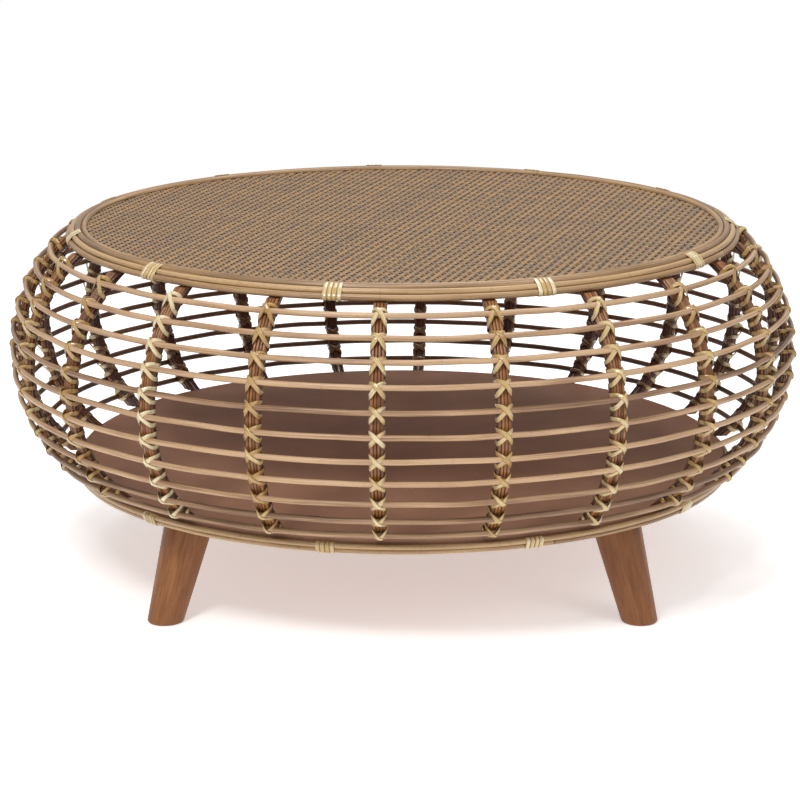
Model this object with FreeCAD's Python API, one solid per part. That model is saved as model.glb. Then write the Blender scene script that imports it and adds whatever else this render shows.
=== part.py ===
import FreeCAD, Part
import math
import os

# Round cane coffee table: a woven top on a bulging cage of bent ribs and lashed hoops, standing on
# four splayed legs. Millimetres, +Z up. The origin is on the floor, on the table's centre line.
# Azimuth 0 points along -Y (the front) and grows towards +X.

# Overall sizes
LEG_H = 115.0             # floor to the underside of the base board
CAGE_H = 251.0            # clear height between the two boards
CAGE_R = 446.0            # hoop centre line at the waist
SIDE_R = 168.0            # bulge of the cage side, measured to the hoop centre lines

# Boards and mat
BASE_T = 15.0
TOP_T = 11.0
TOP_SET_IN = 0.9          # top board's edge, in from where a rib's centre line meets a board
BASE_SET_IN = 5.3         # base board's edge, from the same place
MAT_T = 1.5
MAT_EDGE_T = 0.8          # mat where it is pressed flat under the trim

# Canes
HOOP_D = 6.2
HOOP_COUNT = 11
HOOP_END_GAP = 9.5        # from a board's face to the centre of the nearest hoop
RIM_CANE_D = 6.8
RIM_LOW_RISE = 4.6        # centre of the lowest rim cane above the top board's underside
RIM_STEP_LOW = 50.0       # degrees above level, from the lowest rim cane to the middle one
RIM_STEP_HIGH = 25.0      # degrees above level, from the middle rim cane to the upper one
TRIM_W = 6.8              # half-round cane on the edge of the mat
TRIM_T = 4.7
TRIM_FLATS = 8            # flats that its round side is shaved in
BASE_CANE_D = 5.8
BASE_LOW_RISE = -0.3      # centre of the lower base cane above the base board's underside
BASE_CANE_STEP = 2.5      # how far the upper base cane stands out past the lower one

# Ribs: two layers of thin canes on a flat core slat
RIB_COUNT = 22
RIB_FIRST = -3.3          # azimuth of the first rib
RIB_CANE_D = 3.4
RIB_CANES_WIDE = 4
SLAT_T = 3.4

# Peel (flat split cane) bands
PEEL_W = 5.0
PEEL_T = 0.9
LASH_TILT = 40.0          # lean of a lashing loop across its rib
BINDING_COUNT = 11
BINDING_TURNS = 4
TOP_BINDING_FIRST = -10.6
BASE_BINDING_FIRST = -12.0
HAND_SPREAD = 2.0         # degrees by which the hand-set ribs and bindings open towards the front

# Legs
LEG_COUNT = 4
LEG_FIRST = 45.0
LEG_SET_IN = 5.8          # foot centre, in from the base board's edge
LEG_SPLAY = 19.4          # degrees from upright, outwards
LEG_FOOT_D = 38.4
LEG_TOP_D = 54.0
LEG_EDGE_R = 3.0          # rounded edge of the foot

# Leg fixings
PLATE_SIDE = 70.0
PLATE_T = 3.0
PLATE_CORNER_R = 6.0
COLLAR_D = 16.0
COLLAR_H = 7.0            # collar above the plate, along the bolt
POCKET_D = 26.0
POCKET_DEPTH = 12.0
BOLT_D = 8.0
BOLT_UP = 10.0            # bolt beyond the leg's top face
BOLT_DOWN = 34.0          # bolt inside the leg
SCREW_D = 4.0
SCREW_L = 13.0
SCREW_HEAD_D = 8.0
SCREW_HEAD_T = 2.2
SCREW_INSET = 8.0         # screw centre from the plate's edge
NAIL_D = 1.4              # headless nail in each end of a rib
NAIL_BITE = 4.5           # how deep it goes below a board's face
NAIL_IN_RIB = 16.0
NAIL_SET_IN = 0.85        # nail, in from the centre line of a rib's inner canes

# Clearances
SEAT = 0.1                # between pieces that lie against each other
STRAND = 0.05             # between canes in a bundle
FIT = 0.05                # round a fixing, on the radius
LOOP_GAP = 1.1            # between a lashing and what it binds

# Heights and radii that follow from the sizes above
BASE_TOP = LEG_H + BASE_T
WAIST = BASE_TOP + CAGE_H / 2
TOP_UNDER = BASE_TOP + CAGE_H
TOP_FACE = TOP_UNDER + TOP_T
BULGE_R = CAGE_R - SIDE_R                       # centre circle of the bulge
STRAND_PITCH = RIB_CANE_D + STRAND
LAYER_PITCH = (RIB_CANE_D + SLAT_T) / 2 + STRAND
RIB_W = RIB_CANES_WIDE * STRAND_PITCH
RIB_DEPTH = 2 * LAYER_PITCH + RIB_CANE_D
RIB_R = SIDE_R - HOOP_D / 2 - SEAT - RIB_DEPTH / 2
TRIM_ROUND_R = ((TRIM_W / 2) ** 2 + TRIM_T ** 2) / (2 * TRIM_T)
RIB_MEETS_R = BULGE_R + math.sqrt(RIB_R ** 2 - (CAGE_H / 2) ** 2)
TOP_R = RIB_MEETS_R - TOP_SET_IN
BASE_R = RIB_MEETS_R - BASE_SET_IN
LEG_FOOT_R = BASE_R - LEG_SET_IN
LEG_TOP = LEG_H - PLATE_T - SEAT
LEG_TOP_R = LEG_FOOT_R - LEG_TOP * math.tan(math.radians(LEG_SPLAY))

UP = FreeCAD.Vector(0, 0, 1)
ORIGIN = FreeCAD.Vector(0, 0, 0)


def save(shape, node):
    shape.exportStep("parts/" + node + ".step")


def at_azimuth(shape, azimuth):
    turned = shape.copy()
    turned.rotate(ORIGIN, UP, azimuth)
    return turned


def front(radius, z, side=0.0):
    """Point on the front (azimuth 0), at a radius and height, stepped sideways along +X."""
    return FreeCAD.Vector(side, -radius, z)


def polar(radius, degrees):
    """Step (outwards, upwards) of a length at an angle above level."""
    return radius * math.cos(math.radians(degrees)), radius * math.sin(math.radians(degrees))


def ring(radius, z, diameter):
    return Part.makeTorus(radius, diameter / 2, FreeCAD.Vector(0, 0, z), UP)


def arc(centre_radius, centre_z, radius, first, last, side):
    """Arc in the plane of azimuth 0, from one angle above level to another."""
    points = []
    for degrees in (first, (first + last) / 2, last):
        out, rise = polar(radius, degrees)
        points.append(front(centre_radius + out, centre_z + rise, side))
    return Part.Arc(*points).toShape()


# Cage

def hoop_angle(index):
    """Angle above level, seen from the bulge's centre; hoop 1 is the highest."""
    end = math.degrees(math.asin((CAGE_H / 2 - HOOP_END_GAP) / SIDE_R))
    return end - 2 * end * (index - 1) / (HOOP_COUNT - 1)


def hand_set(first, index, count):
    """Azimuth of one of a number of pieces that are set round the table by hand."""
    even = first + 360.0 * index / count
    return even + HAND_SPREAD * math.sin(math.radians(even))


def rib_azimuth(index):
    return hand_set(RIB_FIRST, index, RIB_COUNT)


def bent(section):
    """Solid that a level section at the waist makes when it is carried up and down the bulge."""
    centre = front(BULGE_R, WAIST)
    along_hoops = FreeCAD.Vector(-1, 0, 0)
    reach = math.degrees(math.asin(CAGE_H / 2 / (RIB_R - RIB_DEPTH / 2))) + 1.0
    face = Part.Face(section)
    face.rotate(centre, along_hoops, -reach)
    return face.revolve(centre, along_hoops, 2 * reach)


def rib_strand(offset, side):
    centre = front(BULGE_R + RIB_R + offset, WAIST, side)
    return bent(Part.Wire(Part.makeCircle(RIB_CANE_D / 2, centre, UP)))


def rib_slat():
    half_w = RIB_W / 2 - STRAND
    inner = BULGE_R + RIB_R - SLAT_T / 2
    outer = inner + SLAT_T
    corners = [(-half_w, inner), (half_w, inner), (half_w, outer), (-half_w, outer), (-half_w, inner)]
    return bent(Part.makePolygon([front(radius, WAIST, side) for side, radius in corners]))


def rib_nail_pair(clearance):
    """Nails along the rib at azimuth 0, from inside each board into the rib's square-cut ends."""
    line_r = RIB_R - LAYER_PITCH - NAIL_SET_IN
    lean = math.degrees(math.asin(CAGE_H / 2 / line_r))
    out, up = polar(line_r, lean)
    in_step, rise = polar(1.0, 90 - lean)
    axis = FreeCAD.Vector(0, in_step, rise)
    bite = NAIL_BITE / rise + clearance
    bottom = front(BULGE_R + out, WAIST + up) - axis * (NAIL_IN_RIB + clearance)
    high = Part.makeCylinder(NAIL_D / 2 + clearance, NAIL_IN_RIB + clearance + bite, bottom, axis)
    return [high, high.mirror(FreeCAD.Vector(0, 0, WAIST), UP)]


def rib_bundle():
    """Core slat between two rows of canes, sawn off square just short of both boards."""
    solids = [rib_slat()]
    for column in range(RIB_CANES_WIDE):
        side = (column - (RIB_CANES_WIDE - 1) / 2) * STRAND_PITCH
        solids.append(rib_strand(LAYER_PITCH, side))
        solids.append(rib_strand(-LAYER_PITCH, side))
    kept = Part.makeBox(2 * RIB_W, 2 * CAGE_R, CAGE_H - 2 * SEAT, front(2 * CAGE_R, BASE_TOP + SEAT, -RIB_W))
    holes = rib_nail_pair(FIT)
    return Part.makeCompound([solid.common(kept).cut(holes) for solid in solids])


def rib_nails():
    nails = []
    for index in range(RIB_COUNT):
        nails.extend(at_azimuth(nail, rib_azimuth(index)) for nail in rib_nail_pair(0.0))
    return Part.makeCompound(nails)


def lashing_loop(index, lean):
    """Closed peel band round the rib at azimuth 0 and over one hoop, leaning across the rib."""
    tilt = math.radians(LASH_TILT)
    long_in = RIB_W / math.cos(tilt) + PEEL_W * math.tan(tilt) + 2 * LOOP_GAP
    deep_in = RIB_DEPTH + SEAT + HOOP_D + 2 * LOOP_GAP
    back = -RIB_DEPTH / 2 - LOOP_GAP
    corner = FreeCAD.Vector(-long_in / 2, -back - deep_in, -PEEL_W / 2)
    wall = FreeCAD.Vector(PEEL_T, PEEL_T, 0)
    outer = Part.makeBox(long_in + 2 * PEEL_T, deep_in + 2 * PEEL_T, PEEL_W, corner - wall)
    loop = outer.cut(Part.makeBox(long_in, deep_in, PEEL_W, corner))
    loop.rotate(ORIGIN, FreeCAD.Vector(0, 1, 0), lean * LASH_TILT)
    rise = hoop_angle(index)
    loop.rotate(ORIGIN, FreeCAD.Vector(1, 0, 0), -rise)
    out, up = polar(RIB_R, rise)
    loop.translate(front(BULGE_R + out, WAIST + up))
    return loop


def rib_lashings():
    loops = []
    for hoop in range(1, HOOP_COUNT + 1):
        pair = [lashing_loop(hoop, 1), lashing_loop(hoop, -1)]
        for rib in range(RIB_COUNT):
            loops.append(at_azimuth(pair[(hoop + rib) % 2], rib_azimuth(rib)))
    return Part.makeCompound(loops)


def hoop(index):
    out, up = polar(SIDE_R, hoop_angle(index))
    return ring(BULGE_R + out, WAIST + up, HOOP_D)


# Top

def rim_centres():
    """Centres (radius, height) of the lower, middle and upper rim canes."""
    pitch = RIM_CANE_D + SEAT
    low = (TOP_R + SEAT + RIM_CANE_D / 2, TOP_UNDER + RIM_LOW_RISE)
    out, up = polar(pitch, RIM_STEP_LOW)
    middle = (low[0] - out, low[1] + up)
    out, up = polar(pitch, RIM_STEP_HIGH)
    high = (middle[0] - out, middle[1] + up)
    return low, middle, high


def mat_edge_r():
    return rim_centres()[2][0] - RIM_CANE_D / 2 - SEAT


def shoulder():
    """Radius of the top board's upper edge, which the upper rim cane rests against, and the height of
    the step outside it, which the middle one lies on."""
    low, middle, high = rim_centres()
    reach = RIM_CANE_D / 2 + SEAT
    above_face = max(0.0, high[1] - TOP_FACE)
    return high[0] - math.sqrt(max(0.0, reach ** 2 - above_face ** 2)), middle[1] - reach


def top_board():
    step_r, step_z = shoulder()
    disc = Part.makeCylinder(TOP_R, step_z - TOP_UNDER, FreeCAD.Vector(0, 0, TOP_UNDER), UP)
    plateau = Part.makeCylinder(step_r, TOP_FACE - step_z, FreeCAD.Vector(0, 0, step_z), UP)
    board = disc.fuse(plateau).removeSplitter()
    hole = rib_nail_pair(FIT)[0]
    return board.cut([at_azimuth(hole, rib_azimuth(index)) for index in range(RIB_COUNT)])


def top_mat():
    """Woven sheet, pressed thin round its edge where the trim holds it down."""
    foot = FreeCAD.Vector(0, 0, TOP_FACE)
    edge = Part.makeCylinder(mat_edge_r(), MAT_EDGE_T, foot, UP)
    open_r = mat_edge_r() - TRIM_W / 2 - TRIM_ROUND_R - SEAT
    return edge.fuse(Part.makeCylinder(open_r, MAT_T, foot, UP)).removeSplitter()


def trim_ring():
    """Half-round cane, flat side down on the mat's pressed edge."""
    floor = TOP_FACE + MAT_EDGE_T + SEAT
    centre_r = mat_edge_r() - TRIM_W / 2
    centre_z = floor + TRIM_T - TRIM_ROUND_R
    end = math.degrees(math.asin((floor - centre_z) / TRIM_ROUND_R))
    corners = []
    for index in range(TRIM_FLATS + 1):
        out, up = polar(TRIM_ROUND_R, end + (180 - 2 * end) * index / TRIM_FLATS)
        corners.append(front(centre_r + out, centre_z + up))
    section = Part.makePolygon(corners + corners[:1])
    return Part.Face(section).revolve(ORIGIN, UP, 360)


def strap_outline(centres, diameter, gap, first, last):
    """Edges that wrap the open side of a row of canes, from one end angle to the other."""
    radius = diameter / 2 + gap
    normals = [first]
    for here, there in zip(centres, centres[1:]):
        normals.append(math.degrees(math.atan2(there[1] - here[1], there[0] - here[0])) + 90)
    normals.append(last)
    edges = []
    previous = None
    for centre, start, end in zip(centres, normals, normals[1:]):
        piece = arc(centre[0], centre[1], radius, start, end, 0.0)
        out, up = polar(radius, start)
        begin = front(centre[0] + out, centre[1] + up)
        if previous is not None:
            edges.append(Part.makeLine(previous, begin))
        edges.append(piece)
        out, up = polar(radius, end)
        previous = front(centre[0] + out, centre[1] + up)
    return edges, previous


def strap_section(centres, diameter, first, last):
    inner, inner_end = strap_outline(centres, diameter, SEAT, first, last)
    outer, outer_end = strap_outline(centres, diameter, SEAT + PEEL_T, first, last)
    ends = []
    for gap in (SEAT, SEAT + PEEL_T):
        out, up = polar(diameter / 2 + gap, first)
        ends.append(front(centres[0][0] + out, centres[0][1] + up))
    edges = inner + outer + [Part.makeLine(*ends), Part.makeLine(inner_end, outer_end)]
    return Part.Face(Part.Wire(Part.__sortEdges__(edges)))


def bindings(section, radius, first_azimuth):
    """Peel straps in groups of BINDING_TURNS, side by side, BINDING_COUNT groups round the rim."""
    turn = math.degrees(PEEL_W / radius)
    pitch = math.degrees((PEEL_W + SEAT) / radius)
    strap = section.revolve(ORIGIN, UP, turn)
    straps = []
    for group in range(BINDING_COUNT):
        start = hand_set(first_azimuth, group, BINDING_COUNT) - BINDING_TURNS * pitch / 2
        for index in range(BINDING_TURNS):
            straps.append(at_azimuth(strap, start + index * pitch))
    return Part.makeCompound(straps)


def rim_bindings():
    low, middle, high = rim_centres()
    section = strap_section([high, middle, low], RIM_CANE_D, 100, -100)
    return bindings(section, low[0], TOP_BINDING_FIRST)


# Base

def base_centres():
    """Centres (radius, height) of the lower and upper canes round the base board."""
    low = (BASE_R + SEAT + BASE_CANE_D / 2, LEG_H + BASE_LOW_RISE)
    rise = math.sqrt((BASE_CANE_D + SEAT) ** 2 - BASE_CANE_STEP ** 2)
    return low, (low[0] + BASE_CANE_STEP, low[1] + rise)


def base_bindings():
    low, high = base_centres()
    section = strap_section([high, low], BASE_CANE_D, 150, -120)
    return bindings(section, low[0], BASE_BINDING_FIRST)


def base_board():
    board = Part.makeCylinder(BASE_R, BASE_T, FreeCAD.Vector(0, 0, LEG_H), UP)
    hole = rib_nail_pair(FIT)[1]
    tools = [at_azimuth(hole, rib_azimuth(index)) for index in range(RIB_COUNT)]
    pocket = Part.makeCylinder(POCKET_D / 2, POCKET_DEPTH, front(LEG_TOP_R, LEG_H), UP)
    spots = screw_spots(LEG_H - PLATE_T)
    pilots = [Part.makeCylinder(SCREW_D / 2 + FIT, SCREW_L, spot, UP) for spot in spots]
    for index in range(LEG_COUNT):
        tools.extend(at_azimuth(tool, leg_azimuth(index)) for tool in [pocket] + pilots)
    return board.cut(tools)


# Legs and their fixings

def leg_azimuth(index):
    return LEG_FIRST + 360.0 * index / LEG_COUNT


def leg_axis():
    """Direction up the leg at azimuth 0: it leans inwards as it rises."""
    tilt = math.radians(LEG_SPLAY)
    return FreeCAD.Vector(0, math.sin(tilt), math.cos(tilt))


def leg():
    slant = math.cos(math.radians(LEG_SPLAY))
    length = LEG_TOP / slant
    growth = (LEG_TOP_D - LEG_FOOT_D) / 2 / length
    spare = LEG_TOP_D
    axis = leg_axis()
    start = front(LEG_FOOT_R, 0) - axis * spare
    cone = Part.makeCone(LEG_FOOT_D / 2 - growth * spare, LEG_TOP_D / 2 + growth * spare,
                         length + 2 * spare, start, axis)
    slab = Part.makeBox(4 * spare, 4 * spare, LEG_TOP, front(LEG_FOOT_R + 2 * spare, 0, -2 * spare))
    body = cone.common(slab)
    foot_edges = [edge for edge in body.Edges if edge.BoundBox.ZMax < LEG_EDGE_R]
    body = body.makeFillet(LEG_EDGE_R, foot_edges)
    bore = Part.makeCylinder(BOLT_D / 2 + FIT, BOLT_DOWN + spare, bolt_bottom(), axis)
    return body.cut(bore)


def bolt_bottom():
    return front(LEG_TOP_R, LEG_TOP) - leg_axis() * BOLT_DOWN


def hanger_bolt():
    return Part.makeCylinder(BOLT_D / 2, BOLT_DOWN + BOLT_UP, bolt_bottom(), leg_axis())


def screw_spots(z):
    reach = PLATE_SIDE / 2 - SCREW_INSET
    return [front(LEG_TOP_R + across * reach, z, along * reach) for across in (-1, 1) for along in (-1, 1)]


def leg_plate():
    corner = front(LEG_TOP_R + PLATE_SIDE / 2, LEG_H - PLATE_T, -PLATE_SIDE / 2)
    plate = Part.makeBox(PLATE_SIDE, PLATE_SIDE, PLATE_T, corner)
    upright = [edge for edge in plate.Edges if edge.BoundBox.ZLength > PLATE_T / 2]
    plate = plate.makeFillet(PLATE_CORNER_R, upright)
    seat = front(LEG_TOP_R, LEG_H - PLATE_T)
    collar = Part.makeCylinder(COLLAR_D / 2, PLATE_T + COLLAR_H, seat, leg_axis())
    above = Part.makeBox(PLATE_SIDE, PLATE_SIDE, PLATE_SIDE, corner)
    plate = plate.fuse(collar.common(above)).removeSplitter()
    bore = Part.makeCylinder(BOLT_D / 2 + FIT, 4 * COLLAR_H, seat - leg_axis() * COLLAR_H, leg_axis())
    holes = [screw_hole(spot) for spot in screw_spots(LEG_H - PLATE_T)]
    return plate.cut([bore] + holes)


def screw_hole(spot):
    shaft = Part.makeCylinder(SCREW_D / 2 + FIT, PLATE_T, spot, UP)
    cone = Part.makeCone(SCREW_HEAD_D / 2 + FIT, SCREW_D / 2 + FIT, SCREW_HEAD_T, spot, UP)
    return shaft.fuse(cone)


def plate_screw(spot):
    shaft = Part.makeCylinder(SCREW_D / 2, SCREW_L, spot, UP)
    cone = Part.makeCone(SCREW_HEAD_D / 2, SCREW_D / 2, SCREW_HEAD_T, spot, UP)
    return shaft.fuse(cone).removeSplitter()


def plate_screws():
    screws = [plate_screw(spot) for spot in screw_spots(LEG_H - PLATE_T)]
    turned = []
    for index in range(LEG_COUNT):
        turned.extend(at_azimuth(screw, leg_azimuth(index)) for screw in screws)
    return Part.makeCompound(turned)


def main():
    os.makedirs("parts", exist_ok=True)
    save(top_board(), "top_board")
    save(top_mat(), "top_mat")
    save(trim_ring(), "rim_trim")
    for name, centre in zip(("lower", "middle", "upper"), rim_centres()):
        save(ring(centre[0], centre[1], RIM_CANE_D), "rim_cane_" + name)
    save(rim_bindings(), "rim_bindings")
    for index in range(1, HOOP_COUNT + 1):
        save(hoop(index), f"hoop_{index:02d}")
    bundle = rib_bundle()
    for index in range(RIB_COUNT):
        save(at_azimuth(bundle, rib_azimuth(index)), f"rib_{index + 1:02d}")
    save(rib_lashings(), "rib_lashings")
    save(rib_nails(), "rib_nails")
    save(base_board(), "base_board")
    for name, centre in zip(("lower", "upper"), base_centres()):
        save(ring(centre[0], centre[1], BASE_CANE_D), "base_cane_" + name)
    save(base_bindings(), "base_bindings")
    one_leg = leg()
    plate = leg_plate()
    bolt = hanger_bolt()
    for index in range(LEG_COUNT):
        azimuth = leg_azimuth(index)
        save(at_azimuth(one_leg, azimuth), f"leg_{index + 1}")
        save(at_azimuth(plate, azimuth), f"leg_plate_{index + 1}")
        save(at_azimuth(bolt, azimuth), f"hanger_bolt_{index + 1}")
    save(plate_screws(), "plate_screws")


main()
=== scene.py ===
import math
import random

import bmesh
import bpy
from mathutils import Matrix, Vector, noise


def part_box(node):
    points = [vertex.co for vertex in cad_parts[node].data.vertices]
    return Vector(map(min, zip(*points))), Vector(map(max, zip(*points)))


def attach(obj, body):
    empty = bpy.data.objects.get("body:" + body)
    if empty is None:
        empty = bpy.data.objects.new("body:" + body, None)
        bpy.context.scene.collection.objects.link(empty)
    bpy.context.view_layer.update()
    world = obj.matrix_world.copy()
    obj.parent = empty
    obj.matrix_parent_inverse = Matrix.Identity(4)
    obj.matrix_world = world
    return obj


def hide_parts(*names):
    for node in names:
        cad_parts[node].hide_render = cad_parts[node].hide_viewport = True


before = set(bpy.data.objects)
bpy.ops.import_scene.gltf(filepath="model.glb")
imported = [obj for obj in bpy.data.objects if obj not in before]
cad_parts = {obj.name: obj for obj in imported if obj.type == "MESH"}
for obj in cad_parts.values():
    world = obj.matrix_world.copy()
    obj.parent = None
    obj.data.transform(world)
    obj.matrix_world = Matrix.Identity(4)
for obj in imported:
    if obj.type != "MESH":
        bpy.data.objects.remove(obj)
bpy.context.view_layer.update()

# Round rattan coffee table. Metres, +Z up, the floor at 0. An azimuth of 0 points along -Y (the
# front) and grows towards +X, so at the front +X is along a hoop and -Y is outwards.

MM = 0.001
TURN = 2 * math.pi

# Canes, as in the frame
HOOP_D = 6.2 * MM
RIM_CANE_D = 6.8 * MM
BASE_CANE_D = 5.8 * MM
TRIM_W = 6.8 * MM
RIB_CANE_D = 3.4 * MM
RIB_CANES_WIDE = 4
RIB_SLAT_T = 3.4 * MM
STRAND_GAP = 0.05 * MM
SEAT = 0.1 * MM

# Peel: the flat outer skin of rattan, used for lashings and bindings
PEEL_W = 5.3 * MM
PEEL_T = 0.9 * MM
BINDING_PEEL_W = 4.9 * MM
BINDING_PITCH = 5.1 * MM
BINDING_COUNT = 11
BINDING_TURNS = 4
TOP_BINDING_FIRST = -10.6       # degrees of azimuth
BASE_BINDING_FIRST = -12.0
HAND_SPREAD = 2.0               # degrees by which the bindings open towards the front
RIM_WRAP = (100, -100)          # where a strap starts and ends, in degrees above level
BASE_WRAP = (150, -120)

# Where the ends of the canes meet, in degrees of azimuth
RIM_JOINTS = (67, -47, 100)
BASE_JOINTS = (25, -70)
TRIM_JOINT = 152

# Woven mat: a two-over, two-under twill of narrow split cane, laid askew to the legs
MAT_PITCH = 4.37 * MM
MAT_STRAND_W = 4.27 * MM
MAT_STRAND_T = 0.68 * MM
MAT_TURN = -17.0                # degrees from +X to the strands that run across
MAT_FLOAT = 1.3                 # flat stretch of a strand over two others, in pitches

NODE_SPACING = 0.22             # between the growth nodes of a cane
NODE_W = 1.6 * MM

HOOPS = [f"hoop_{number:02d}" for number in range(1, 12)]
RIBS = [f"rib_{number:02d}" for number in range(1, 23)]


def ring_line(node, thickness):
    """Radius and height of a ring node's centre line."""
    low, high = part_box(node)
    return high.x - thickness / 2, (low.z + high.z) / 2


def cage_curve():
    """Waist height, radius of the bulge's centre circle, and radius of the bulge at the hoops."""
    waist_r, waist_z = ring_line("hoop_06", HOOP_D)
    top_r, top_z = ring_line("hoop_01", HOOP_D)
    step_in = waist_r - top_r
    bulge = (step_in ** 2 + (top_z - waist_z) ** 2) / (2 * step_in)
    return waist_z, waist_r - bulge, bulge


WAIST, BULGE_R, SIDE_R = cage_curve()
BASE_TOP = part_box("base_board")[1].z
TOP_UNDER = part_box("top_board")[0].z
LAYER_PITCH = (RIB_CANE_D + RIB_SLAT_T) / 2 + STRAND_GAP
STRAND_PITCH = RIB_CANE_D + STRAND_GAP
RIB_DEPTH = 2 * LAYER_PITCH + RIB_CANE_D
RIB_W = RIB_CANES_WIDE * STRAND_PITCH
RIB_R = SIDE_R - HOOP_D / 2 - SEAT - RIB_DEPTH / 2
RIB_STEPS = 30


def azimuth_of(node):
    low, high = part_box(node)
    return math.atan2(low.x + high.x, -low.y - high.y)


def hoop_angle(node):
    """Angle of a hoop above level, seen from the bulge's centre circle."""
    return math.asin((ring_line(node, HOOP_D)[1] - WAIST) / SIDE_R)


RIB_AZIMUTHS = [azimuth_of(node) for node in RIBS]
HOOP_ANGLES = [hoop_angle(node) for node in HOOPS]


# Strand modelling. Every strand carries a vector attribute "strand", its place on the straight
# cane it was cut from (along, across, thickness), and a "tone" between 0 and 1.

def round_outline(diameter, sides, across=0.0, out=0.0):
    points = []
    for side in range(sides):
        angle = TURN * side / sides
        points.append((across + diameter / 2 * math.cos(angle), out + diameter / 2 * math.sin(angle)))
    return points


def peel_outline(width):
    """Flat underside and a crowned skin with rounded edges."""
    half = width / 2
    return [(-half, 0.0), (half, 0.0), (0.94 * half, 0.6 * PEEL_T), (0.5 * half, PEEL_T),
            (-0.5 * half, PEEL_T), (-0.94 * half, 0.6 * PEEL_T)]


def strand_layers(bm):
    place = bm.verts.layers.float_vector.get("strand") or bm.verts.layers.float_vector.new("strand")
    floats = bm.verts.layers.float
    # The float layers hold the tone and a mask of painted shade on surfaces facing the cage's interior.
    return [place] + [floats.get(name) or floats.new(name) for name in ("tone", "painted_shade")]


def sweep(bm, outline, stations, tone, cut_from=0.0, painted_shade=None):
    """Carries a closed outline (across, thickness) along stations of (matrix, distance along).
    The optional shade function, given (across, thickness, station number), is 1 where a strand faces the
    cage's interior and gets painted shade."""
    place_layer, tone_layer, painted_shade_layer = strand_layers(bm)
    place, along = stations[0]
    ring = [bm.verts.new(place @ Vector((0, across, out))) for across, out in outline]
    for vert, (across, out) in zip(ring, outline):
        vert[place_layer] = (cut_from + along, across, out)
        vert[tone_layer] = tone
        vert[painted_shade_layer] = painted_shade(across, out, 0) if painted_shade else 0.0
    cap = bm.faces.new(ring)
    edges = list(cap.edges)
    for edge in edges:
        edge.smooth = False
    for number, (place, along) in enumerate(stations[1:], 1):
        place_before = stations[number - 1][0]
        grown = bmesh.ops.extrude_edge_only(bm, edges=edges)["geom"]
        verts = [item for item in grown if isinstance(item, bmesh.types.BMVert)]
        edges = [item for item in grown if isinstance(item, bmesh.types.BMEdge) and item.is_boundary]
        for face in (item for item in grown if isinstance(item, bmesh.types.BMFace)):
            face.smooth = True
        bmesh.ops.transform(bm, matrix=place @ place_before.inverted(), verts=verts)
        for vert in verts:
            spot = vert[place_layer]
            spot.x = cut_from + along
            vert[painted_shade_layer] = painted_shade(spot.y, spot.z, number) if painted_shade else 0.0
    for edge in edges:
        edge.smooth = False
    bmesh.ops.edgeloop_fill(bm, edges=edges)


def finish_piece(name, bm, material, node):
    """Turns a bmesh into an object that rides on the table and stands for a CAD node."""
    bmesh.ops.recalc_face_normals(bm, faces=bm.faces)
    mesh = bpy.data.meshes.new(name)
    bm.to_mesh(mesh)
    bm.free()
    mesh.materials.append(material)
    piece = bpy.data.objects.new(name, mesh)
    bpy.context.scene.collection.objects.link(piece)
    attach(piece, "root")
    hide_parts(node)


def ring_stations(radius, height, start, angle, steps, wander=None):
    """Stations round the table; wander gives (outwards, upwards) at an azimuth."""
    stations = []
    for step in range(steps + 1):
        azimuth = start + angle * step / steps
        out, up = wander(azimuth) if wander else (0.0, 0.0)
        place = Matrix.Rotation(azimuth, 4, "Z") @ Matrix.Translation((0, -radius - out, height + up))
        stations.append((place, radius * (azimuth - start)))
    return stations


def cage_place(azimuth, across, out, angle):
    """Point on the cage side: out is measured from a rib's centre line, angle is above level."""
    reach = RIB_R + out
    spot = Vector((across, -BULGE_R - reach * math.cos(angle), WAIST + reach * math.sin(angle)))
    return Matrix.Rotation(azimuth, 3, "Z") @ spot


# Colours and shader nodes

def linear(hex_colour):
    """sRGB hex colour as the linear RGBA that a socket takes."""
    channels = [int(hex_colour[start:start + 2], 16) / 255 for start in (1, 3, 5)]
    return [c / 12.92 if c <= 0.04045 else ((c + 0.055) / 1.055) ** 2.4 for c in channels] + [1.0]


def add(tree, kind, inputs=None, stops=None, **settings):
    """Adds a shader node with its settings, its input values or links, and a ramp's stops."""
    made = tree.nodes.new("ShaderNode" + kind)
    for name, value in settings.items():
        setattr(made, name, value)
    for socket, value in (inputs or {}).items():
        if isinstance(value, bpy.types.NodeSocket):
            tree.links.new(value, made.inputs[socket])
        else:
            made.inputs[socket].default_value = value
    for index, (position, colour) in enumerate(stops or []):
        ramp = made.color_ramp.elements
        if index >= len(ramp):
            ramp.new(position)
        ramp[index].position = position
        ramp[index].color = colour
    return made


def new_material(name):
    """Material with an empty tree, its output and a Principled shader."""
    material = bpy.data.materials.new(name)
    material.use_nodes = True
    tree = material.node_tree
    tree.nodes.clear()
    shader = add(tree, "BsdfPrincipled")
    add(tree, "OutputMaterial", {"Surface": shader.outputs["BSDF"]})
    return material, tree, shader


def strand_noise(tree, place, lengths, detail=3.0, roughness=0.55):
    """Noise on the straight cane, with features of these lengths (along, across, through)."""
    counts = [1 / length for length in lengths]
    scaled = add(tree, "VectorMath", {0: place, 1: counts}, operation="MULTIPLY")
    return add(tree, "TexNoise", {"Vector": scaled.outputs[0], "Scale": 1.0, "Detail": detail,
                                  "Roughness": roughness}).outputs["Fac"]


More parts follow.
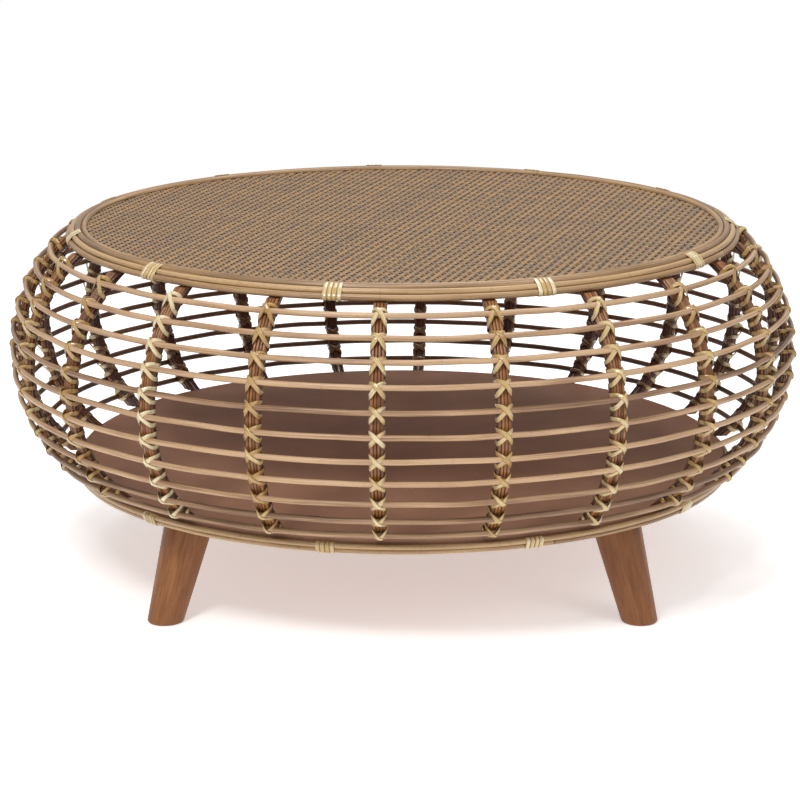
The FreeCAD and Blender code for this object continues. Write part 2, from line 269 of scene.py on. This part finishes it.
def cane_marks(tree, place, rings, pores, edge):
    """How much of the mark colour shows: growth rings, pores and a darkening towards the long edges of a
    strip.
    """
    parts = add(tree, "SeparateXYZ", {0: place})
    spaced = add(tree, "Math", {0: parts.outputs[0], 1: 1 / NODE_SPACING}, operation="MULTIPLY")
    ring = add(tree, "TexVoronoi", {"W": spaced.outputs[0], "Scale": 1.0}, voronoi_dimensions="1D")
    ringed = add(tree, "MapRange", {"Value": ring.outputs["Distance"], "From Min": 0.0,
                                    "From Max": NODE_W / NODE_SPACING, "To Min": rings, "To Max": 0.0})
    pore = strand_noise(tree, place, (5 * MM, 0.7 * MM, 0.7 * MM), detail=1.0)
    pored = add(tree, "MapRange", {"Value": pore, "From Min": 0.30, "From Max": 0.36,
                                   "To Min": pores, "To Max": 0.0})
    marks = add(tree, "Math", {0: ringed.outputs[0], 1: pored.outputs[0]}, operation="MAXIMUM")
    if edge:
        # Darker towards the long edges of a strip
        side = add(tree, "Math", {0: parts.outputs[1]}, operation="ABSOLUTE")
        split = add(tree, "MapRange", {"Value": side.outputs[0], "From Min": 0.7 * edge, "From Max": edge,
                                       "To Min": 0.0, "To Max": 0.75})
        marks = add(tree, "Math", {0: marks.outputs[0], 1: split.outputs[0]}, operation="MAXIMUM")
    return marks.outputs[0]


def cane_material(name, stops, mark_colour, gloss, shade_colour="#ffffff", rings=0.2, pores=0.5, contrast=1.0,
                  coat=0.15, edge=None):
    """Split or round rattan. Long fibres give fine streaks, growth nodes give faint dark rings every
    couple of hundred millimetres, pores give short dark dashes, and clear lacquer gives the shine.
    Painted shade darkens the surfaces that face the cage's interior."""
    material, tree, shader = new_material(name)
    place = add(tree, "Attribute", attribute_name="strand").outputs["Vector"]
    tone = add(tree, "Attribute", attribute_name="tone").outputs["Fac"]
    # Fibres are about 0.3 mm wide, drawn 0.9 mm so that they show at arm's length
    fibre = strand_noise(tree, place, (0.07, 0.9 * MM, 0.9 * MM))
    drift = strand_noise(tree, place, (0.11, 9 * MM, 9 * MM), detail=2.0)
    blend = add(tree, "Math", {0: fibre, 1: drift}, operation="ADD")
    lifted = add(tree, "Math", {0: tone, 1: 0.5, 2: blend.outputs[0]}, operation="MULTIPLY_ADD")
    spread = 0.34 / contrast
    shade = add(tree, "MapRange", {"Value": lifted.outputs[0], "From Min": 1.25 - spread,
                                   "From Max": 1.25 + spread})
    colour = add(tree, "ValToRGB", {"Fac": shade.outputs[0]},
                 [(0.5 * number, linear(stop)) for number, stop in enumerate(stops)])
    marks = cane_marks(tree, place, rings, pores, edge)
    marked = add(tree, "Mix", {0: marks, 6: colour.outputs[0], 7: linear(mark_colour)}, data_type="RGBA")
    # Painted shade: where the mask is 1, the colour is multiplied by a darker colour.
    painted_shade = add(tree, "Attribute", attribute_name="painted_shade").outputs["Fac"]
    shaded_colour = add(tree, "Mix", {0: painted_shade, 6: marked.outputs[2], 7: linear(shade_colour)}, data_type="RGBA",
                 blend_type="MULTIPLY")
    tree.links.new(shaded_colour.outputs[2], shader.inputs["Base Color"])
    relief = add(tree, "Math", {0: marks, 1: -0.6, 2: fibre}, operation="MULTIPLY_ADD")
    bump = add(tree, "Bump", {"Strength": 0.35, "Distance": 0.3 * MM, "Height": relief.outputs[0]})
    tree.links.new(bump.outputs[0], shader.inputs["Normal"])
    rough = add(tree, "MapRange", {"Value": fibre, "To Min": gloss - 0.06, "To Max": gloss + 0.1})
    tree.links.new(rough.outputs[0], shader.inputs["Roughness"])
    shader.inputs["Coat Weight"].default_value = coat
    shader.inputs["Coat Roughness"].default_value = 0.16
    shader.inputs["IOR"].default_value = 1.5
    return material


def board_material():
    """Brown-stained fibreboard: flat and matt, with faint clouding from the spray and fine specks."""
    material, tree, shader = new_material("brown_stained_fibreboard")
    place = add(tree, "TexCoord").outputs["Object"]
    cloud = add(tree, "TexNoise", {"Vector": place, "Scale": 9.0, "Detail": 3.0}).outputs["Fac"]
    # Board fibres are under 1 mm; drawn 2.5 mm so that they show
    speck = add(tree, "TexNoise", {"Vector": place, "Scale": 400.0, "Detail": 2.0}).outputs["Fac"]
    both = add(tree, "Math", {0: speck, 1: 0.45, 2: cloud}, operation="MULTIPLY_ADD")
    colour = add(tree, "ValToRGB", {"Fac": both.outputs[0]},
                 [(0.5, linear("#936a52")), (0.75, linear("#a2765c")), (0.95, linear("#ae8166"))])
    tree.links.new(colour.outputs[0], shader.inputs["Base Color"])
    bump = add(tree, "Bump", {"Strength": 0.2, "Distance": 0.2 * MM, "Height": speck})
    tree.links.new(bump.outputs[0], shader.inputs["Normal"])
    shader.inputs["Roughness"].default_value = 0.62
    return material


def leg_material():
    """Stained hardwood: straight grain up each leg, open pores and a thin satin lacquer."""
    material, tree, shader = new_material("stained_hardwood")
    place = add(tree, "TexCoord").outputs["Object"]
    parts = add(tree, "SeparateXYZ", {0: place})
    outward = add(tree, "VectorMath", {0: place, 1: (1, 1, 0)}, operation="MULTIPLY")
    radius = add(tree, "VectorMath", {0: outward.outputs[0]}, operation="LENGTH")
    azimuth = add(tree, "Math", {0: parts.outputs[0], 1: parts.outputs[1]}, operation="ARCTAN2")
    # The legs stand near one radius, so azimuth times that radius is the distance across them
    across = add(tree, "Math", {0: azimuth.outputs[0], 1: LEG_R}, operation="MULTIPLY")
    # Leaning the radius back by the splay makes the grain run up the leg
    leaned = add(tree, "Math", {0: parts.outputs[2], 1: LEG_SLOPE, 2: radius.outputs["Value"]},
                 operation="MULTIPLY_ADD")
    joined = add(tree, "CombineXYZ", {0: across.outputs[0], 1: leaned.outputs[0], 2: parts.outputs[2]})
    grain = strand_noise(tree, joined.outputs[0], (2.2 * MM, 2.2 * MM, 60 * MM), detail=4.0)
    cloud = strand_noise(tree, joined.outputs[0], (16 * MM, 16 * MM, 90 * MM), detail=2.0)
    pore = strand_noise(tree, joined.outputs[0], (0.9 * MM, 0.9 * MM, 6 * MM), detail=1.0)
    both = add(tree, "Math", {0: grain, 1: cloud}, operation="ADD")
    colour = add(tree, "ValToRGB", {"Fac": add(tree, "MapRange", {
        "Value": both.outputs[0], "From Min": 0.55, "From Max": 1.45}).outputs[0]},
        [(0.0, linear("#5f3a1e")), (0.5, linear("#80512e")), (1.0, linear("#96653c"))])
    pits = add(tree, "MapRange", {"Value": pore, "From Min": 0.27, "From Max": 0.33,
                                  "To Min": 0.35, "To Max": 0.0})
    marked = add(tree, "Mix", {0: pits.outputs[0], 6: colour.outputs[0], 7: linear("#3a2014")},
                 data_type="RGBA")
    tree.links.new(marked.outputs[2], shader.inputs["Base Color"])
    relief = add(tree, "Math", {0: pits.outputs[0], 1: -0.8, 2: grain}, operation="MULTIPLY_ADD")
    bump = add(tree, "Bump", {"Strength": 0.3, "Distance": 0.3 * MM, "Height": relief.outputs[0]})
    tree.links.new(bump.outputs[0], shader.inputs["Normal"])
    shader.inputs["Roughness"].default_value = 0.5
    shader.inputs["Specular IOR Level"].default_value = 0.3
    shader.inputs["Coat Weight"].default_value = 0.1
    shader.inputs["Coat Roughness"].default_value = 0.25
    return material


def zinc_material():
    """Zinc-plated steel: grey metal with a faint crystal pattern in its colour and roughness."""
    material, tree, shader = new_material("zinc_plated_steel")
    place = add(tree, "TexCoord").outputs["Object"]
    crystal = add(tree, "TexVoronoi", {"Vector": place, "Scale": 450.0}).outputs["Color"]
    grey = add(tree, "RGBToBW", {0: crystal})
    colour = add(tree, "ValToRGB", {"Fac": grey.outputs[0]},
                 [(0.0, linear("#9a9c9e")), (1.0, linear("#c3c5c6"))])
    tree.links.new(colour.outputs[0], shader.inputs["Base Color"])
    rough = add(tree, "MapRange", {"Value": grey.outputs[0], "To Min": 0.28, "To Max": 0.42})
    tree.links.new(rough.outputs[0], shader.inputs["Roughness"])
    shader.inputs["Metallic"].default_value = 1.0
    return material


# Where the grain of the legs runs
LEG_LOW, LEG_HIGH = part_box("leg_1")
LEG_R = math.hypot((LEG_LOW.x + LEG_HIGH.x) / 2, (LEG_LOW.y + LEG_HIGH.y) / 2)
LEG_SPLAY = 19.4                # degrees from upright
LEG_SLOPE = math.tan(math.radians(LEG_SPLAY))


# Pieces

HOOP_BOW = 1.3 * MM             # most that a hoop strays between two ribs
RIM_BOW = 0.25 * MM             # the same for a cane nailed down at close steps
HELD = math.radians(5.0)        # how near to a rib a hoop is still held straight


def stray(spot, reach):
    """Smooth random step (outwards, upwards)."""
    return reach * noise.noise(spot), reach * noise.noise(spot + Vector((0, 0, 3.1)))


def hoop_wander(number):
    """Natural bow of a hoop between its ribs, nothing where a rib holds it."""
    def wander(azimuth):
        nearest = min(abs(math.remainder(azimuth - rib, TURN)) for rib in RIB_AZIMUTHS)
        free = min(1.0, nearest / HELD) ** 2
        spot = Vector((5 * math.cos(azimuth), 5 * math.sin(azimuth), 7.3 * number))
        return stray(spot, HOOP_BOW * free)
    return wander


def ring_shade_mask(across, out, number):
    """Mask of painted shade on the half of a ring that faces the cage's interior: on a ring, across runs
    inwards.
    """
    return 1.0 if across > -0.1 * HOOP_D else 0.0


def build_hoops(material, draw):
    """Eleven peeled canes, each bent round and butted under a lashing."""
    for number, node in enumerate(HOOPS):
        radius, height = ring_line(node, HOOP_D)
        joint = RIB_AZIMUTHS[(7 * number + 9) % len(RIBS)]
        gap = 0.6 * MM / radius
        bm = bmesh.new()
        stations = ring_stations(radius, height, joint + gap / 2, TURN - gap, 220, hoop_wander(number))
        sweep(bm, round_outline(HOOP_D, 10), stations, draw.random(), 3.0 * number, ring_shade_mask)
        finish_piece(f"hoop_cane_{number + 1:02d}", bm, material, node)


def build_ring_canes(names, diameter, joints, material, draw):
    """Canes round a board, each in two lengths with a fine gap where the ends meet."""
    for number, (node, joint) in enumerate(zip(names, joints)):
        radius, height = ring_line(node, diameter)
        bm = bmesh.new()
        gap = 0.9 * MM / radius
        for half in (0, 1):
            start = math.radians(joint) + math.pi * half + gap / 2
            stations = ring_stations(radius, height, start, math.pi - gap, 120, ring_wander(number))
            sweep(bm, round_outline(diameter, 12), stations, draw.random(), 40.0 + 4 * number + 2 * half)
        finish_piece(node + "_lengths", bm, material, node)


def ring_wander(number):
    """Slight waviness of a cane that is nailed down at close steps."""
    def wander(azimuth):
        spot = Vector((7 * math.cos(azimuth), 7 * math.sin(azimuth), 11.7 + 5.3 * number))
        return stray(spot, RIM_BOW)
    return wander


def build_trim(material):
    """Half-round cane that covers the cut edge of the mat."""
    low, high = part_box("rim_trim")
    depth = high.z - low.z
    angles = [math.pi * step / 7 for step in range(8)]
    points = [(TRIM_W / 2 * math.cos(angle), depth * math.sin(angle)) for angle in angles]
    bm = bmesh.new()
    gap = 0.7 * MM / high.x
    start = math.radians(TRIM_JOINT) + gap / 2
    stations = ring_stations(high.x - TRIM_W / 2, low.z, start, TURN - gap, 240)
    sweep(bm, points, stations, 0.45, 60.0)
    finish_piece("rim_trim_length", bm, material, "rim_trim")


def rib_stations(azimuth):
    """Centre line of a rib: the arc of the cage side, a little past both boards."""
    reach = math.asin((TOP_UNDER - WAIST) / (RIB_R - RIB_DEPTH / 2)) + math.radians(1.0)
    stations = []
    for step in range(RIB_STEPS + 1):
        angle = reach * (2 * step / RIB_STEPS - 1)
        normal = Vector((0, -math.cos(angle), math.sin(angle)))
        across = Vector((1, 0, 0))
        place = Matrix((across.cross(normal), across, normal)).transposed().to_4x4()
        place.translation = Vector((0, -BULGE_R, WAIST)) + normal * RIB_R
        stations.append((Matrix.Rotation(azimuth, 4, "Z") @ place, RIB_R * (angle + reach)))
    return stations


def saw_off(bm, height, side):
    """Saws off everything above (side 1) or below (side -1) a height and closes the cut ends."""
    everything = bm.verts[:] + bm.edges[:] + bm.faces[:]
    cut = bmesh.ops.bisect_plane(bm, geom=everything, plane_co=(0, 0, height), plane_no=(0, 0, side),
                                 clear_outer=True)["geom_cut"]
    edges = [item for item in cut if isinstance(item, bmesh.types.BMEdge)]
    for edge in edges:
        edge.smooth = False
    bmesh.ops.edgeloop_fill(bm, edges=edges)


def rib_shade_mask(across, out, number):
    """Mask of painted shade on the row of a rib's canes that faces the cage's interior."""
    return 1.0 if out < -0.3 * RIB_SLAT_T else 0.0


def build_ribs(material, draw):
    """Two rows of four thin canes on a core slat."""
    half_w = RIB_W / 2 - STRAND_GAP
    half_t = RIB_SLAT_T / 2
    slat = [(-half_w, -half_t), (half_w, -half_t), (half_w, half_t), (-half_w, half_t)]
    for number, (node, azimuth) in enumerate(zip(RIBS, RIB_AZIMUTHS)):
        bm = bmesh.new()
        stations = rib_stations(azimuth)
        sweep(bm, slat, stations, 0.2 * draw.random(), 100.0 + 8 * number, rib_shade_mask)
        for column in range(RIB_CANES_WIDE):
            across = (column - (RIB_CANES_WIDE - 1) / 2) * STRAND_PITCH
            for row in (-1, 1):
                outline = round_outline(RIB_CANE_D, 8, across, row * LAYER_PITCH)
                start = 100.0 + 8 * number + draw.random() * 6
                sweep(bm, outline, stations, draw.random(), start, rib_shade_mask)
        saw_off(bm, TOP_UNDER - SEAT, 1)
        saw_off(bm, BASE_TOP + SEAT, -1)
        finish_piece(f"rib_canes_{number + 1:02d}", bm, material, node)


# Lashing: how a strip goes once round a rib, from the front over a hoop to the next hoop.
# Heights are in millimetres from the hoop's centre line, for a strip that falls from left to right.
SQUARENESS = 5                  # exponent of the bundle's rounded outline
CROSSING = (0.3, -7.3, -3.2)    # height over the rib's front, as a quadratic in its half width
TOP_CROSSING = (3.5, -8.5, -5.2)
LAST_CROSSING = (0.3, -6.1, -2.0)
LEVEL = (6.8, 0.0, 0.0)
ARRIVAL = 4.4                   # height at which a strip comes round to the left of a hoop
FALL_SIDE = 0.85                # height change down the far side, per half depth
FRONT_STEPS = 5
BACK_STEPS = 3


def squared(value):
    """The other coordinate of the bundle's outline, as shares of its half sizes."""
    return (1 - abs(value) ** SQUARENESS) ** (1 / SQUARENESS)


def lashing_turn(crossing, next_rise):
    """Stops of one turn: (across, out, height in mm, lift over the hoop, layer at a crossing)."""
    start, slope, curve = crossing
    stops = []
    for step in range(1 - FRONT_STEPS, FRONT_STEPS):
        share = math.sin(math.pi / 2 * step / FRONT_STEPS)
        lift = 1 - min(1.0, max(0.0, (abs(share) - 0.2) / 0.8)) ** 1.3
        layer = max(0.0, 1 - abs(share) / 0.62)
        stops.append((share, squared(share), start + slope * share + curve * share ** 2, lift, layer))
    right = stops[-1][2] - 0.7
    left = next_rise - 0.3
    for share in (0.7, 0.0, -0.7):
        stops.append((squared(share), share, right - FALL_SIDE * (0.7 - share), 0.0, 0.0))
    back_start = stops[-1][2] - 0.5
    for step in range(BACK_STEPS - 1, -BACK_STEPS, -1):
        share = math.sin(math.pi / 2 * step / BACK_STEPS)
        height = left + (back_start - left) * (share + 1) / 2
        stops.append((share, -squared(share), height, 0.0, max(0.0, 1 - abs(share))))
    for share in (-0.7, 0.0, 0.7):
        stops.append((-squared(share), share, left - 0.1 * share, 0.0, 0.0))
    return stops


def lashing_stations(azimuth, hand, over):
    """Stations of one strip down a whole rib. The strip that lies over rides higher where they cross."""
    half_w = RIB_W / 2 + 0.6 * MM
    half_d = RIB_DEPTH / 2 + 0.25 * MM
    points = []
    turns = [(LEVEL, HOOP_ANGLES[0], 6.8)] if over else []
    for index, angle in enumerate(HOOP_ANGLES):
        crossing = CROSSING
        if index == 0:
            crossing = TOP_CROSSING
        if index == len(HOOP_ANGLES) - 1:
            crossing = LAST_CROSSING
        following = HOOP_ANGLES[min(index + 1, len(HOOP_ANGLES) - 1)]
        drop = (angle - following) * SIDE_R / MM
        turns.append((crossing, angle, ARRIVAL - drop if drop else -8.0))
    for turn, (crossing, angle, rise) in enumerate(turns):
        level = crossing is LEVEL
        for x, out, height, lift, layer in lashing_turn(crossing, rise):
            raise_by = 0.0 if level else lift * (HOOP_D + SEAT)
            raise_by += (PEEL_T + 0.05 * MM) * layer * over
            depth = half_d * out + (raise_by if out > 0 else -raise_by)
            where = angle + height * MM / SIDE_R
            spot = cage_place(azimuth, hand * half_w * x, depth, where)
            steep = SQUARENESS - 1
            face = Vector((hand * math.copysign(abs(x) ** steep / half_w, x),
                           -math.copysign(abs(out) ** steep / half_d, out) * math.cos(where),
                           math.copysign(abs(out) ** steep / half_d, out) * math.sin(where)))
            points.append((spot, Matrix.Rotation(azimuth, 3, "Z") @ face.normalized(), out))
    points = points[:-4]
    # Painted shade on the stops where a strip runs round the rib's back, facing the cage's interior.
    shaded_turns = [1.0 if out < -0.2 else 0.0 for _, _, out in points]
    return framed(points), lambda across, out, number: shaded_turns[number]


def framed(points):
    """Matrices that follow the points, with the normals turned square to the travel."""
    stations = []
    along = 0.0
    for index, (spot, face, _) in enumerate(points):
        before = points[max(index - 1, 0)][0]
        after = points[min(index + 1, len(points) - 1)][0]
        travel = (after - before).normalized()
        normal = (face - travel * face.dot(travel)).normalized()
        along += (spot - before).length
        place = Matrix((travel, normal.cross(travel), normal)).transposed().to_4x4()
        place.translation = spot
        stations.append((place, along))
    return stations


def build_lashings(material, draw):
    """Two peel strips down each rib, wound opposite ways, crossing over every hoop."""
    for number, azimuth in enumerate(RIB_AZIMUTHS):
        bm = bmesh.new()
        tone = draw.random()
        for hand, over in ((-1, 0), (1, 1)):
            stations, painted_shade = lashing_stations(azimuth, hand, over)
            shade = min(1.0, max(0.0, tone + draw.uniform(-0.15, 0.15)))
            sweep(bm, peel_outline(PEEL_W), stations, shade, 300.0 + 5 * number + 2.5 * over, painted_shade)
        finish_piece(f"rib_lashing_{number + 1:02d}", bm, material, "rib_lashings")


def strap_stations(centres, diameter, wrap):
    """Stations of a strap round the open side of a row of canes, at azimuth 0."""
    radius = diameter / 2 + SEAT
    bounds = [wrap[0]]
    for here, there in zip(centres, centres[1:]):
        bounds.append(math.degrees(math.atan2(there[1] - here[1], there[0] - here[0])) + 90)
    bounds.append(wrap[1])
    stations = []
    along = 0.0
    for (out, up), start, end in zip(centres, bounds, bounds[1:]):
        steps = max(1, round(abs(end - start) / 20))
        for step in range(steps + 1):
            angle = math.radians(start + (end - start) * step / steps)
            normal = Vector((0, -math.cos(angle), math.sin(angle)))
            across = Vector((1, 0, 0))
            place = Matrix((across.cross(normal), across, normal)).transposed().to_4x4()
            place.translation = Vector((0, -out, up)) + normal * radius
            if stations:
                along += (place.translation - stations[-1][0].translation).length
            stations.append((place, along))
    return stations


def build_bindings(name, node, centres, diameter, wrap, first_azimuth, material, draw):
    """Groups of peel straps, side by side, that tie the canes to the board."""
    stations = strap_stations(centres, diameter, wrap)
    for group in range(BINDING_COUNT):
        bm = bmesh.new()
        even = math.radians(first_azimuth + 360 * group / BINDING_COUNT)
        middle = even + math.radians(HAND_SPREAD) * math.sin(even)
        for turn in range(BINDING_TURNS):
            shift = (turn - (BINDING_TURNS - 1) / 2) * BINDING_PITCH / centres[-1][0]
            spin = Matrix.Rotation(middle + shift, 4, "Z")
            skew = Matrix.Rotation(draw.uniform(-0.01, 0.01), 4, "Y")
            placed = [(spin @ place @ skew, along) for place, along in stations]
            tone = draw.uniform(0.3, 1.0)
            sweep(bm, peel_outline(BINDING_PEEL_W), placed, tone, 500.0 + 3 * draw.random())
        finish_piece(f"{name}_{group + 1:02d}", bm, material, node)


def mat_stops(index, half_length):
    """(distance, level) along a strand: two stops on every float, over at level 1, under at -1."""
    stops = []
    reach = int(half_length / (2 * MAT_PITCH)) + 3
    for number in range(-reach, reach + 1):
        start = 2 * number - index % 4 + (1 - MAT_FLOAT / 2 - 0.5)
        level = 1 if number % 2 == 0 else -1
        for stop in (start, start + MAT_FLOAT):
            distance = min(half_length, max(-half_length, stop * MAT_PITCH))
            if not stops or distance > stops[-1][0] + 0.01 * MM:
                stops.append((distance, level))
    return stops


def build_mat_strands(name, turn, side, material, draw):
    """One of the two sets of strands of the mat, each a flat strip bent over and under."""
    low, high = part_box("top_mat")
    radius = high.x
    middle = (low.z + high.z) / 2
    joined = bmesh.new()
    strand_layers(joined)
    lift = MAT_STRAND_T / 2 + 0.04 * MM
    count = int(radius / MAT_PITCH)
    strip = bpy.data.meshes.new("strip")
    for index in range(-count, count + 1):
        offset = index * MAT_PITCH
        half_length = math.sqrt(radius ** 2 - offset ** 2) - MAT_STRAND_W / 2
        if half_length < 2 * MAT_PITCH:
            continue
        stops = mat_stops(index, half_length)
        bm = bmesh.new()
        place_layer, tone_layer, _ = strand_layers(bm)
        bmesh.ops.create_cube(bm, size=1.0)
        lengthwise = [e for e in bm.edges if abs(e.verts[0].co.x - e.verts[1].co.x) > 0.5]
        bmesh.ops.subdivide_edges(bm, edges=lengthwise, cuts=len(stops) - 2, use_grid_fill=True)
        tone = draw.random()
        bow = draw.uniform(-0.05, 0.05) * MM
        for vert in bm.verts:
            distance, level = stops[round((vert.co.x + 0.5) * (len(stops) - 1))]
            across = vert.co.y * MAT_STRAND_W
            thick = vert.co.z * MAT_STRAND_T
            vert[place_layer] = (distance + 700 + 2 * index, across, thick)
            vert[tone_layer] = tone
            vert.co = Vector((distance, offset + across + bow, thick + side * level * lift))
        for face in bm.faces:
            face.smooth = True
        bm.to_mesh(strip)
        bm.free()
        joined.from_mesh(strip)
    bpy.data.meshes.remove(strip)
    place = Matrix.Translation((0, 0, middle)) @ Matrix.Rotation(turn, 4, "Z")
    bmesh.ops.transform(joined, matrix=place, verts=joined.verts)
    finish_piece(name, joined, material, "top_mat")


def build_mat(material, draw):
    turn = math.radians(MAT_TURN)
    build_mat_strands("mat_strands_across", turn, -1, material, draw)
    build_mat_strands("mat_strands_along", turn + math.pi / 2, 1, material, draw)


def paint(nodes, material):
    """Gives CAD nodes a material."""
    for node in nodes:
        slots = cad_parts[node].data.materials
        slots.clear()
        slots.append(material)


def build_table():
    draw = random.Random(20)
    # After each material's gloss comes the colour of the painted shade on surfaces facing the cage's
    # interior.
    hoop = cane_material("peeled_rattan_lacquered", ("#6f5037", "#a27e5c", "#bf9d78"), "#5e4029", 0.45,
                         "#a08878", rings=0.15, pores=0.3, contrast=1.2)
    rim = cane_material("golden_rattan_lacquered", ("#735739", "#9d7b55", "#b8976c"), "#5c3c20", 0.38)
    rib = cane_material("stained_thin_rattan", ("#5a3519", "#8d5a30", "#a87444"), "#3a2010", 0.36,
                        "#a08878")
    peel = cane_material("glossy_rattan_peel", ("#9f773a", "#bfa26a", "#ddd0ac"), "#7d5526", 0.22,
                         "#9a8470", rings=0.3, pores=0.25, coat=0.6, edge=PEEL_W / 2)
    weave = cane_material("split_cane_twill", ("#75624f", "#907153", "#a88252"), "#5d4230", 0.5,
                          pores=0.3, contrast=1.1, coat=0.05)
    board = board_material()
    zinc = zinc_material()
    build_hoops(hoop, draw)
    build_ribs(rib, draw)
    build_lashings(peel, draw)
    rim_nodes = ["rim_cane_lower", "rim_cane_middle", "rim_cane_upper"]
    build_ring_canes(rim_nodes, RIM_CANE_D, RIM_JOINTS, rim, draw)
    build_trim(rim)
    base_nodes = ["base_cane_lower", "base_cane_upper"]
    build_ring_canes(base_nodes, BASE_CANE_D, BASE_JOINTS, rim, draw)
    rim_centres = [ring_line(node, RIM_CANE_D) for node in reversed(rim_nodes)]
    build_bindings("rim_binding", "rim_bindings", rim_centres, RIM_CANE_D, RIM_WRAP,
                   TOP_BINDING_FIRST, peel, draw)
    base_centres = [ring_line(node, BASE_CANE_D) for node in reversed(base_nodes)]
    build_bindings("base_binding", "base_bindings", base_centres, BASE_CANE_D, BASE_WRAP,
                   BASE_BINDING_FIRST, peel, draw)
    build_mat(weave, draw)
    paint(["top_board", "base_board"], board)
    paint([f"leg_{number}" for number in range(1, 5)], leg_material())
    fixings = [f"{kind}_{number}" for kind in ("leg_plate", "hanger_bolt") for number in range(1, 5)]
    paint(fixings + ["plate_screws", "rib_nails"], zinc)


# Stage, light and camera

FLOOR_R = 1.7


def build_stage():
    bm = bmesh.new()
    bmesh.ops.create_circle(bm, cap_ends=True, segments=96, radius=FLOOR_R)
    mesh = bpy.data.meshes.new("floor")
    bm.to_mesh(mesh)
    bm.free()
    # A white acrylic light table: it glows a little, so it stays white and shadows on it stay pale
    material, _, shader = new_material("white_light_table")
    shader.inputs["Emission Color"].default_value = (1, 1, 1, 1)
    shader.inputs["Emission Strength"].default_value = 0.4
    shader.inputs["Base Color"].default_value = linear("#f7f7f7")
    shader.inputs["Roughness"].default_value = 0.9
    mesh.materials.append(material)
    floor = bpy.data.objects.new("floor", mesh)
    bpy.context.scene.collection.objects.link(floor)


def add_light(name, place, target, size, power):
    light = bpy.data.lights.new(name, "AREA")
    light.shape = "DISK"
    light.size = size
    light.energy = power
    lamp = bpy.data.objects.new(name, light)
    lamp.location = place
    lamp.rotation_euler = (Vector(target) - Vector(place)).to_track_quat("-Z", "Y").to_euler()
    bpy.context.scene.collection.objects.link(lamp)


def build_light():
    world = bpy.data.worlds.new("studio")
    bpy.context.scene.world = world
    world.use_nodes = True
    tree = world.node_tree
    tree.nodes.clear()
    sky = add(tree, "Background", {"Color": (1, 1, 1, 1), "Strength": 0.55})
    seen = add(tree, "Background", {"Color": (1, 1, 1, 1), "Strength": 1.0})
    path = add(tree, "LightPath")
    mixed = add(tree, "MixShader", {0: path.outputs["Is Camera Ray"], 1: sky.outputs[0],
                                    2: seen.outputs[0]})
    add(tree, "OutputWorld", {"Surface": mixed.outputs[0]})
    centre = (0, 0, 0.3)
    add_light("key", (-0.9, -2.2, 2.6), centre, 0.8, 52)
    add_light("fill", (1.8, -1.8, 1.7), centre, 1.4, 12)
    add_light("top", (0.2, 0.8, 3.0), centre, 1.8, 40)


CAMERA_AT = (-0.0028, -3.261, 1.002)
CAMERA_DOWN = 14.09             # degrees below level
CAMERA_LENS = 130.45


def build_camera():
    data = bpy.data.cameras.new("camera")
    data.sensor_width = 36.0
    data.lens = CAMERA_LENS
    camera = bpy.data.objects.new("camera", data)
    camera.location = CAMERA_AT
    camera.rotation_euler = (math.radians(90 - CAMERA_DOWN), 0, 0)
    bpy.context.scene.collection.objects.link(camera)
    bpy.context.scene.camera = camera


build_table()
build_stage()
build_light()
build_camera()
bpy.context.scene.view_settings.view_transform = "Standard"
